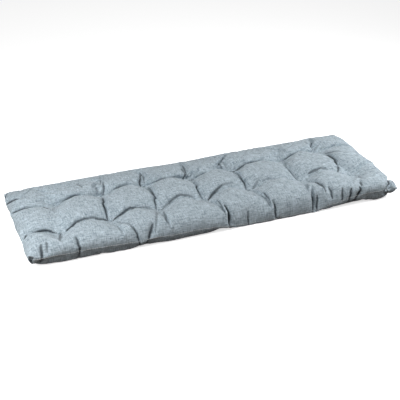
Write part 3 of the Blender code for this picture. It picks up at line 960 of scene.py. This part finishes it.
def cover_mesh(shape, flat, closed):
    """One closed mesh of both panels.

    The upper panel keeps every point, the lower one every second point, and the cells along the
    rim of the lower panel take in the rim's extra points. The UV map is the flat-cut panel in
    metres, the lower panel's set beside the upper's.
    """
    rows, columns = shape.shape[1:3]
    upper = np.arange(rows * columns).reshape(rows, columns)
    lower = np.full((rows, columns), -1)
    for edge in RIM:
        lower[edge] = upper[edge]
    inner = (slice(2, -2, 2), slice(2, -2, 2))
    count = lower[inner].size
    lower[inner] = rows * columns + np.arange(count).reshape(lower[inner].shape)
    points = np.concatenate((shape[0].reshape(-1, 3), shape[1][inner].reshape(-1, 3)))

    faces = np.stack((upper[:-1, :-1], upper[:-1, 1:], upper[1:, 1:], upper[1:, :-1]), axis=-1)
    for cell in ((0, -1), (-1, 0)):
        # Splits these two corners through their tip, so that no triangle doubles one below it.
        faces[cell] = np.roll(faces[cell], -1)
    faces = faces.reshape(-1, 4).tolist()
    upper_faces = len(faces)
    lower_corners = []
    for j in range(0, rows - 1, 2):
        for i in range(0, columns - 1, 2):
            ring = ((j, i), (j + 1, i), (j + 2, i), (j + 2, i + 1), (j + 2, i + 2),
                    (j + 1, i + 2), (j, i + 2), (j, i + 1))
            ring = [corner for corner in ring if lower[corner] >= 0]
            faces.append([int(lower[corner]) for corner in ring])
            lower_corners.extend(corner[0] * columns + corner[1] for corner in ring)

    mesh = bpy.data.meshes.new("filled_cover")
    mesh.from_pydata(points.tolist(), [], faces)
    loops = np.concatenate((np.array(faces[:upper_faces]).ravel(), np.array(lower_corners)))
    uv = flat.reshape(-1, 2)[loops].copy()
    uv[upper_faces * 4:, 1] += 2 * flat[-1, 0, 1]
    layer = mesh.uv_layers.new(name="cut_panel")
    layer.data.foreach_set("uv", uv.astype(np.float32).ravel())
    # Painted shade of the closed creases, kept on the points for the cloth's colour.
    shade = np.concatenate((closed[0].ravel(), closed[1][inner].ravel())).astype(np.float32)
    mesh.attributes.new("closed_crease", "FLOAT", "POINT").data.foreach_set("value", shade)
    mesh.shade_smooth()
    mesh.validate()
    return mesh


THREAD_SIDES = 6
BLUNT_END = 0.97        # how far towards its point the end of a stitch is cut off


def tubes_mesh(name, paths, radius):
    """Joined mesh of short closed tubes.

    paths is an array of tubes by points by 3. Each tube is a circle carried along its path and
    drawn in to a blunt point at both ends, as a stitch is.
    """
    tubes, stops = paths.shape[:2]
    forward = np.gradient(paths, axis=1)
    forward /= np.linalg.norm(forward, axis=-1, keepdims=True)
    side = np.cross(forward, np.array((0.0, 0.0, 1.0)))
    side /= np.linalg.norm(side, axis=-1, keepdims=True)
    over = np.cross(side, forward)
    turn = np.linspace(0, 2 * np.pi, THREAD_SIDES, endpoint=False)
    swell = radius * np.sqrt(1 - np.linspace(-BLUNT_END, BLUNT_END, stops) ** 4)
    ring = (side[:, :, None] * np.cos(turn)[:, None] + over[:, :, None] * np.sin(turn)[:, None])
    points = paths[:, :, None] + ring * swell[:, None, None]
    index = np.arange(tubes * stops * THREAD_SIDES).reshape(tubes, stops, THREAD_SIDES)
    around = np.roll(index, -1, axis=2)
    walls = np.stack((index[:, :-1], index[:, 1:], around[:, 1:], around[:, :-1]), axis=-1)
    faces = walls.reshape(-1, 4).tolist()
    faces += index[:, 0].tolist()
    faces += index[:, -1, ::-1].tolist()
    mesh = bpy.data.meshes.new(name)
    mesh.from_pydata(points.reshape(-1, 3).tolist(), [], faces)
    mesh.shade_smooth()
    tidy = bmesh.new()
    tidy.from_mesh(mesh)
    bmesh.ops.recalc_face_normals(tidy, faces=tidy.faces)
    tidy.to_mesh(mesh)
    tidy.free()
    return mesh


STITCH_RADIUS = 0.0008
STITCH_LENGTH = 0.0058
STITCH_GAP = 0.0012
STITCH_STOPS = 4        # points along a stitch
STITCH_LIFT = 0.6       # how far its middle stands off the cloth, in radii
STITCH_ABOVE_SEAM = 0.0050
TUFT_BAR = 0.0035       # half length of a tufting stitch, along each of x and y
TUFT_BAR_STOPS = 5
TUFT_BAR_LIFT = 0.0005  # how far it arches over the tuft, and how much at its middle over this
TUFT_BAR_ARCH = 1.6


def even_run(points, spacing):
    """Distances along a path at an even spacing, and the distance at each of its points."""
    steps = np.linalg.norm(np.diff(points, axis=0), axis=1)
    distance = np.concatenate(((0.0,), np.cumsum(steps)))
    return np.arange(spacing, distance[-1] - spacing, spacing), distance


def topstitch_paths(shape, flat):
    """Paths of the topstitch: short straight runs on the upper panel just above the seam.

    The line is read from the panel at a fixed flat distance from the seam, and lifted off the
    cloth along its normal by less than the thread's radius, so that the thread bites into it.
    """
    panel = shape[0].astype(float)
    normal = unit(outward(shape)[0].astype(float))
    row = STITCH_ABOVE_SEAM / (flat[1, 0, 1] - flat[0, 0, 1])
    columns = np.arange(panel.shape[1], dtype=float)
    rows = np.full(len(columns), row)
    line = grid_place(panel + normal * STITCH_RADIUS * STITCH_LIFT, columns, rows)
    starts, distance = even_run(line, STITCH_LENGTH + STITCH_GAP)
    places = starts[:, None] + np.linspace(0, STITCH_LENGTH, STITCH_STOPS)
    return np.stack([np.interp(places, distance, line[:, axis]) for axis in range(3)], axis=-1)


def tuft_stitch_paths(shape):
    """Paths of the tufting thread: two short crossed bars on each panel at every tuft."""
    along, across = shape.shape[2] - 1, shape.shape[1] - 1
    run = np.linspace(-1, 1, TUFT_BAR_STOPS)
    arch = TUFT_BAR_LIFT * (TUFT_BAR_ARCH - run ** 2)
    paths = []
    for i, j, _, _ in tuft_points(along, across):
        for panel, up in ((0, 1), (1, -1)):
            for lean in (1, -1):
                bar = np.stack((TUFT_BAR * run, TUFT_BAR * lean * run, up * arch), axis=-1)
                paths.append(shape[panel, j, i].astype(float) + bar)
    return np.array(paths)


# ===== Materials

def new_group(name, inputs, outputs):
    """Start a shader node group with named sockets; returns the tree and its two end nodes."""
    tree = bpy.data.node_groups.new(name, "ShaderNodeTree")
    for label, kind, default in inputs:
        socket = tree.interface.new_socket(label, in_out="INPUT", socket_type=kind)
        if default is not None:
            socket.default_value = default
    for label, kind in outputs:
        tree.interface.new_socket(label, in_out="OUTPUT", socket_type=kind)
    return tree, tree.nodes.new("NodeGroupInput"), tree.nodes.new("NodeGroupOutput")


def feed(tree, socket, value):
    """Link a socket to an input, or set a plain value on it."""
    if isinstance(value, bpy.types.NodeSocket):
        tree.links.new(value, socket)
    else:
        socket.default_value = value


def maths(tree, operation, *values, clamp=False):
    """A Math node; each value is a number or a socket to link."""
    node = tree.nodes.new("ShaderNodeMath")
    node.operation = operation
    node.use_clamp = clamp
    for socket, value in zip(node.inputs, values):
        feed(tree, socket, value)
    return node.outputs["Value"]


def mixed_colour(tree, share, low, high):
    """A Mix node on colours; each value is a number, a colour or a socket to link."""
    node = tree.nodes.new("ShaderNodeMix")
    node.data_type = "RGBA"
    low_socket, high_socket = [socket for socket in node.inputs if socket.type == "RGBA"]
    for socket, value in ((node.inputs["Factor"], share), (low_socket, low), (high_socket, high)):
        feed(tree, socket, value)
    return next(socket for socket in node.outputs if socket.type == "RGBA")


def streaks(tree, place, yarns, lengths, turned):
    """Noise drawn out along one yarn direction: how many streaks to a metre, across and along."""
    mapping = tree.nodes.new("ShaderNodeMapping")
    scale = (lengths, yarns, 1.0) if turned else (yarns, lengths, 1.0)
    mapping.inputs["Scale"].default_value = scale
    shift_x, shift_y = STREAK_SHIFT
    mapping.inputs["Location"].default_value = (yarns * shift_x, lengths * shift_y, 0.0)
    tree.links.new(place, mapping.inputs["Vector"])
    noise = tree.nodes.new("ShaderNodeTexNoise")
    noise.noise_dimensions = "2D"
    noise.inputs["Scale"].default_value = 1.0
    noise.inputs["Detail"].default_value = 1.0
    tree.links.new(mapping.outputs["Vector"], noise.inputs["Vector"])
    return maths(tree, "SUBTRACT", noise.outputs["Fac"], 0.5)


# Layers of the melange: streaks to a metre across and along a yarn, and their share of the look.
WARP = (
    (1100.0, 80.0, 0.9),
    (520.0, 50.0, 0.9),
    (230.0, 28.0, 0.45),
    (60.0, 14.0, 0.12),
)
WEFT = (
    (1000.0, 80.0, 0.9),
    (430.0, 50.0, 0.9),
    (200.0, 28.0, 0.55),
    (60.0, 14.0, 0.12),
)


STREAK_SHIFT = (0.37, 0.61)  # metres by which each layer is moved, so that none starts alike
WEAVE_HEIGHT = 0.25     # height of the yarns' over and under, over that of the slubs
# Painted shade: the colour towards which the cloth is darkened in the depth of its creases.
PAINTED_SHADE_COLOUR = (0.022, 0.030, 0.038, 1.0)


def melange_group():
    """Slubby melange weave: how much pale yarn shows at a place, and the yarns' height.

    It is a sum of noises drawn out along the warp or the weft, each of which stands for yarns or
    slubs of one thickness. The yarns' over and under is a product of two sine waves.
    """
    tree, start, end = new_group(
        "melange_weave",
        (("Place", "NodeSocketVector", None), ("Yarn Pitch", "NodeSocketFloat", 0.0011),
         ("Contrast", "NodeSocketFloat", 1.0)),
        (("Pale Share", "NodeSocketFloat"), ("Height", "NodeSocketFloat")))
    place = start.outputs["Place"]
    look = 0.0
    for layers, turned in ((WARP, False), (WEFT, True)):
        for yarns, lengths, share in layers:
            layer = streaks(tree, place, yarns, lengths, turned)
            look = maths(tree, "MULTIPLY_ADD", layer, share, look)
    contrast = maths(tree, "MULTIPLY", look, start.outputs["Contrast"])
    tree.links.new(maths(tree, "ADD", contrast, 0.5, clamp=True), end.inputs["Pale Share"])

    split = tree.nodes.new("ShaderNodeSeparateXYZ")
    tree.links.new(place, split.inputs["Vector"])
    turn = maths(tree, "DIVIDE", math.pi, start.outputs["Yarn Pitch"])
    over = maths(tree, "SINE", maths(tree, "MULTIPLY", split.outputs["X"], turn))
    under = maths(tree, "SINE", maths(tree, "MULTIPLY", split.outputs["Y"], turn))
    weave = maths(tree, "MULTIPLY", over, under)
    height = maths(tree, "MULTIPLY_ADD", weave, WEAVE_HEIGHT, look)
    tree.links.new(height, end.inputs["Height"])
    return tree


def painted_shade_group():
    """Darkens a colour in the depth of a fold, where the cloth's own walls keep the light out."""
    tree, start, end = new_group(
        "fold_shade",
        (("Colour", "NodeSocketColor", (1, 1, 1, 1)), ("Fold", "NodeSocketFloat", 0.0),
         ("Strength", "NodeSocketFloat", 0.5)),
        (("Colour", "NodeSocketColor"),))
    share = maths(tree, "MULTIPLY", start.outputs["Fold"], start.outputs["Strength"], clamp=True)
    shaded = mixed_colour(tree, share, start.outputs["Colour"], PAINTED_SHADE_COLOUR)
    tree.links.new(shaded, end.inputs["Colour"])
    return tree


def place_group(tree, group, **values):
    """Put a node group in a material with its own values."""
    node = tree.nodes.new("ShaderNodeGroup")
    node.node_tree = group
    for name, value in values.items():
        feed(tree, node.inputs[name.replace("_", " ")], value)
    return node


def bumped(tree, height, strength, distance):
    """A Bump node's normal for a height."""
    node = tree.nodes.new("ShaderNodeBump")
    feed(tree, node.inputs["Strength"], strength)
    feed(tree, node.inputs["Distance"], distance)
    feed(tree, node.inputs["Height"], height)
    return node.outputs["Normal"]


# What the surfaces are like, as plain values of their shaders.
CLOTH_SURFACE = {"Roughness": 0.92, "Specular IOR Level": 0.25, "Sheen Weight": 0.12,
                 "Sheen Roughness": 0.6}
THREAD_SURFACE = {"Roughness": 0.75}
FLOOR_SURFACE = {"Roughness": 0.9, "Specular IOR Level": 0.1}

CLOTH_BUMP = (0.35, 0.0006)     # strength and distance of the slubs' relief
THREAD_BUMP = (0.5, 0.0002)     # the same of the thread's twist
THREAD_TWIST = (900.0, 1.5)     # scale and unevenness of the twist
THREAD_SHADE = 0.7              # painted shade between its turns: colour there, over its own
FLOOR_RETURN = (0.16, 0.135, 0.12, 1.0)
FLOOR_GLOW = 0.70


def new_material(name, surface):
    """A material with the plain values of its shader set; returns it, its tree and the shader."""
    material = bpy.data.materials.new(name)
    material.use_nodes = True
    shader = material.node_tree.nodes["Principled BSDF"]
    for label, value in surface.items():
        shader.inputs[label].default_value = value
    return material, material.node_tree, shader


def cloth_material(cloth):
    """Blue-grey melange cloth with a linen look, on the flat-cut panel's own map, with painted
    shade in its creases.
    """
    material, tree, shader = new_material("melange_cloth", CLOTH_SURFACE)
    uv = tree.nodes.new("ShaderNodeUVMap")
    uv.uv_map = "cut_panel"
    # Painted shade: the creases' attribute darkens the weave's colour in their depth.
    fold = tree.nodes.new("ShaderNodeAttribute")
    fold.attribute_name = "closed_crease"
    weave = place_group(tree, melange_group(), Place=uv.outputs["UV"],
                        Yarn_Pitch=cloth.yarn_pitch, Contrast=cloth.contrast)
    colour = mixed_colour(tree, weave.outputs["Pale Share"], tuple(cloth.dark_yarn),
                          tuple(cloth.pale_yarn))
    shaded = place_group(tree, painted_shade_group(), Colour=colour, Fold=fold.outputs["Fac"],
                         Strength=1.0)
    feed(tree, shader.inputs["Base Color"], shaded.outputs["Colour"])
    feed(tree, shader.inputs["Normal"], bumped(tree, weave.outputs["Height"], *CLOTH_BUMP))
    return material


def thread_material(name, colour):
    """Twisted sewing thread: fine slanting ridges on a plain colour, with painted shade between
    them.
    """
    material, tree, shader = new_material(name, THREAD_SURFACE)
    place = tree.nodes.new("ShaderNodeTexCoord")
    wave = tree.nodes.new("ShaderNodeTexWave")
    wave.bands_direction = "DIAGONAL"
    for label, value in zip(("Scale", "Distortion"), THREAD_TWIST):
        wave.inputs[label].default_value = value
    feed(tree, wave.inputs["Vector"], place.outputs["Object"])
    # Painted shade in the grooves between the thread's turns.
    darker = tuple(THREAD_SHADE * part for part in colour[:3]) + (1.0,)
    twist = mixed_colour(tree, wave.outputs["Fac"], darker, tuple(colour))
    feed(tree, shader.inputs["Base Color"], twist)
    feed(tree, shader.inputs["Normal"], bumped(tree, wave.outputs["Fac"], *THREAD_BUMP))
    return material


def floor_material(colour):
    """Matt floor, as white to look at as a studio's, which returns the light of a darker one."""
    material, tree, shader = new_material("pale_floor", FLOOR_SURFACE)
    ray = tree.nodes.new("ShaderNodeLightPath")
    seen = mixed_colour(tree, ray.outputs["Is Camera Ray"], FLOOR_RETURN, tuple(colour))
    feed(tree, shader.inputs["Base Color"], seen)
    feed(tree, shader.inputs["Emission Color"], tuple(colour))
    glow = maths(tree, "MULTIPLY", ray.outputs["Is Camera Ray"], FLOOR_GLOW)
    feed(tree, shader.inputs["Emission Strength"], glow)
    return material


# ===== Operators

SETTLED = {}


def settled_cover(context):
    """The settled panels, the flat panel and the painted shade of its closed creases, worked out
    once.
    """
    if not SETTLED:
        shape, flat, closed = filled_cover(context.scene.cushion_cover)
        SETTLED.update(shape=shape, flat=flat, closed=closed)
    return SETTLED


def add_piece(context, name, mesh, material):
    """Link a mesh as a piece of the cushion with its material, and set it on the body."""
    piece = bpy.data.objects.new(name, mesh)
    context.scene.collection.objects.link(piece)
    mesh.materials.append(material)
    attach(piece, "root")
    return piece


class CUSHION_OT_filled_cover(bpy.types.Operator):
    """Make the filled cover of two sewn and tufted panels"""

    bl_idname = "cushion.filled_cover"
    bl_label = "Filled cover"

    def execute(self, context):
        mesh = cover_mesh(**settled_cover(context))
        material = cloth_material(context.scene.cushion_cloth)
        piece = add_piece(context, "filled_cover", mesh, material)
        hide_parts("cushion")
        return {"FINISHED"}


class CUSHION_OT_topstitch(bpy.types.Operator):
    """Sew the pale topstitch along the front seam"""

    bl_idname = "cushion.topstitch"
    bl_label = "Front topstitch"

    def execute(self, context):
        settled = settled_cover(context)
        paths = topstitch_paths(settled["shape"], settled["flat"])
        mesh = tubes_mesh("front_topstitch", paths, STITCH_RADIUS)
        material = thread_material("topstitch_thread", context.scene.cushion_cloth.stitch_colour)
        add_piece(context, "front_topstitch", mesh, material)
        return {"FINISHED"}


class CUSHION_OT_tufting_stitches(bpy.types.Operator):
    """Sew the small crossed stitches that hold the tufts"""

    bl_idname = "cushion.tufting_stitches"
    bl_label = "Tufting stitches"

    def execute(self, context):
        paths = tuft_stitch_paths(settled_cover(context)["shape"])
        mesh = tubes_mesh("tufting_stitches", paths, STITCH_RADIUS)
        material = thread_material("tufting_thread", context.scene.cushion_cloth.tuft_colour)
        add_piece(context, "tufting_stitches", mesh, material)
        return {"FINISHED"}


class CUSHION_OT_stage(bpy.types.Operator):
    """Add the pale floor, the soft studio light and the camera"""

    bl_idname = "cushion.stage"
    bl_label = "Stage"

    def execute(self, context):
        stage = context.scene.cushion_stage
        add_floor(context, stage)
        add_light(context, stage)
        add_camera(context, stage)
        return {"FINISHED"}


FLOOR_SIZE = 14.0
FLOOR_DROP = 0.0004     # gap to the cushion's underside
SENSOR_WIDTH = 36.0

# Lamps: the setting that holds the power, the place and the size of the square.
LAMPS = (
    ("overhead_power", (0.1, 1.2, 2.2), 2.0),
    ("left_power", (-1.05, -0.35, 0.80), 0.8),
    ("right_power", (1.15, -0.20, 0.80), 0.8),
)


def add_floor(context, stage):
    """A large flat square just under the cushion."""
    half = FLOOR_SIZE / 2
    mesh = bpy.data.meshes.new("floor")
    corners = [(x * half, y * half, -FLOOR_DROP) for x, y in ((-1, -1), (1, -1), (1, 1), (-1, 1))]
    mesh.from_pydata(corners, [], [(0, 1, 2, 3)])
    mesh.materials.append(floor_material(stage.floor_colour))
    floor = bpy.data.objects.new("floor", mesh)
    context.scene.collection.objects.link(floor)


def add_light(context, stage):
    """Even light from all round, and large soft lamps that face the cushion."""
    world = bpy.data.worlds.new("studio")
    world.use_nodes = True
    background = world.node_tree.nodes["Background"]
    background.inputs["Color"].default_value = (1.0, 1.0, 1.0, 1.0)
    background.inputs["Strength"].default_value = stage.sky_strength
    context.scene.world = world
    context.scene.view_settings.view_transform = "Standard"
    for setting, place, size in LAMPS:
        name = setting.replace("_power", "_lamp")
        lamp = bpy.data.lights.new(name, "AREA")
        lamp.energy = getattr(stage, setting)
        lamp.size = size
        holder = bpy.data.objects.new(name, lamp)
        holder.location = place
        holder.rotation_euler = Vector(place).to_track_quat("Z", "Y").to_euler()
        context.scene.collection.objects.link(holder)


def add_camera(context, stage):
    """The camera, by its angles and distance from the point it looks at."""
    azimuth, elevation = stage.camera_azimuth, stage.camera_elevation
    away = Vector((math.sin(azimuth) * math.cos(elevation),
                   -math.cos(azimuth) * math.cos(elevation), math.sin(elevation)))
    data = bpy.data.cameras.new("camera")
    data.sensor_width = SENSOR_WIDTH
    data.lens = stage.camera_lens
    camera = bpy.data.objects.new("camera", data)
    camera.location = Vector(CAMERA_TARGET) + away * stage.camera_distance
    camera.rotation_euler = away.to_track_quat("Z", "Y").to_euler()
    context.scene.collection.objects.link(camera)
    context.scene.camera = camera


class CUSHION_PT_panel(bpy.types.Panel):
    """Settings and buttons of the cushion in the sidebar"""

    bl_label = "Tufted bench cushion"
    bl_idname = "CUSHION_PT_panel"
    bl_space_type = "VIEW_3D"
    bl_region_type = "UI"
    bl_category = "Cushion"

    def draw(self, context):
        for title, name in (("Cover", "cushion_cover"), ("Cloth", "cushion_cloth"),
                            ("Stage", "cushion_stage")):
            box = self.layout.box()
            box.label(text=title)
            settings = getattr(context.scene, name)
            for key in type(settings).__annotations__:
                box.prop(settings, key)
        for operator in PIECE_OPERATORS + (CUSHION_OT_stage,):
            self.layout.operator(operator.bl_idname)


SETTINGS = (CushionCoverSettings, CushionClothSettings, CushionStageSettings)
SETTING_NAMES = ("cushion_cover", "cushion_cloth", "cushion_stage")
PIECE_OPERATORS = (CUSHION_OT_filled_cover, CUSHION_OT_topstitch, CUSHION_OT_tufting_stitches)
CLASSES = SETTINGS + PIECE_OPERATORS + (CUSHION_OT_stage, CUSHION_PT_panel)


def register():
    for cls in CLASSES:
        bpy.utils.register_class(cls)
    for name, settings in zip(SETTING_NAMES, SETTINGS):
        setattr(bpy.types.Scene, name, PointerProperty(type=settings))


def unregister():
    for name in SETTING_NAMES:
        delattr(bpy.types.Scene, name)
    for cls in reversed(CLASSES):
        bpy.utils.unregister_class(cls)


def main():
    register()
    bpy.ops.cushion.stage()
    bpy.ops.cushion.filled_cover()
    bpy.ops.cushion.topstitch()
    bpy.ops.cushion.tufting_stitches()


if __name__ == "__main__":
    main()
